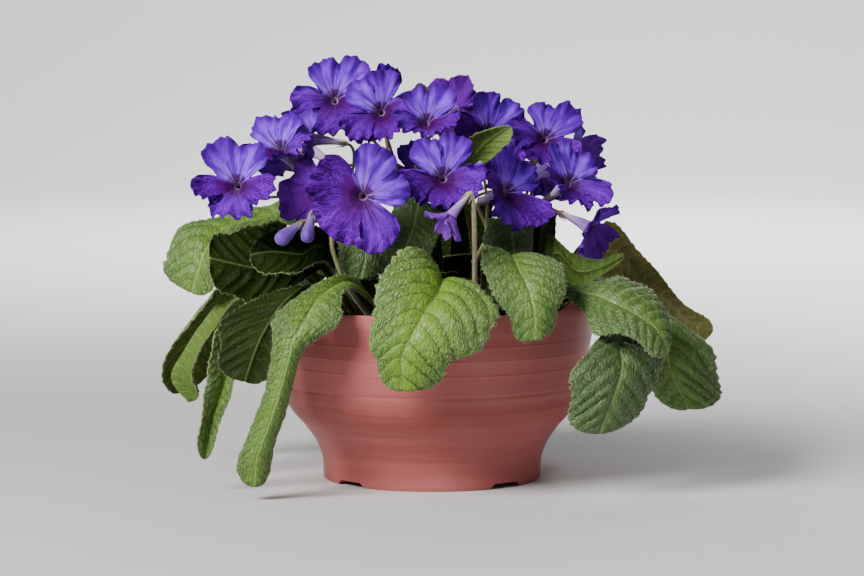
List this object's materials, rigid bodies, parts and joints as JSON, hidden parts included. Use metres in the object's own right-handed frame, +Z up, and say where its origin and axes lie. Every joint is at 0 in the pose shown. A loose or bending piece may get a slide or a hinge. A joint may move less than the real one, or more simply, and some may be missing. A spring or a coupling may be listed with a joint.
{
  "type": "potted cape primrose",
  "caption": "Cape primrose with violet trumpet flowers and puckered strap leaves, growing in a low terracotta-coloured plastic bowl filled with dark potting soil.",
  "frame": {"origin": "on the ground under the middle of the pot's foot ring, which is the bottom centre of the whole plant's box within about 2 mm", "axes": "+Z up, along the pot's axis; -Y towards the front of the plant; +X to the right seen from the front"},
  "size_m": [0.3127, 0.2269, 0.2335],
  "materials": {
    "pot_plastic": "satin moulded plastic, terracotta coloured",
    "soil": "damp dark peat soil",
    "leaf": "puckered, finely haired, soft sheen",
    "stalk": "finely haired, soft sheen",
    "petal": "thin petal, velvety",
    "bud": "thin petal, folded shut"
  },
  "bodies": {
    "root": {"pot": "pot_plastic", "soil": "soil", "leaf_01": "leaf", "leaf_02": "leaf", "leaf_03": "leaf", "leaf_04": "leaf", "leaf_05": "leaf", "leaf_06": "leaf", "leaf_07": "leaf", "leaf_08": "leaf", "leaf_09": "leaf", "leaf_10": "leaf", "leaf_11": "leaf", "leaf_12": "leaf", "leaf_13": "leaf", "leaf_14": "leaf", "leaf_15": "leaf", "leaf_16": "leaf", "leaf_17": "leaf", "leaf_18": "leaf", "leaf_19": "leaf", "leaf_20": "leaf", "leaf_21": "leaf", "leaf_22": "leaf", "stalk_01": "stalk", "stalk_02": "stalk", "stalk_03": "stalk", "stalk_04": "stalk", "stalk_05": "stalk", "stalk_06": "stalk", "stalk_07": "stalk", "stalk_08": "stalk", "stalk_09": "stalk", "stalk_10": "stalk", "flower_01": "petal", "flower_02": "petal", "flower_03": "petal", "flower_04": "petal", "flower_05": "petal", "flower_06": "petal", "flower_07": "petal", "flower_08": "petal", "flower_09": "petal", "flower_10": "petal", "flower_11": "petal", "flower_12": "petal", "flower_13": "petal", "flower_14": "petal", "flower_15": "petal", "flower_16": "petal", "flower_17": "petal", "flower_18": "petal", "flower_19": "petal", "flower_20": "petal", "flower_21": "petal", "flower_22": "petal", "bud_01": "bud", "bud_02": "bud", "bud_03": "bud", "bud_04": "bud"}
  },
  "joints": []
}
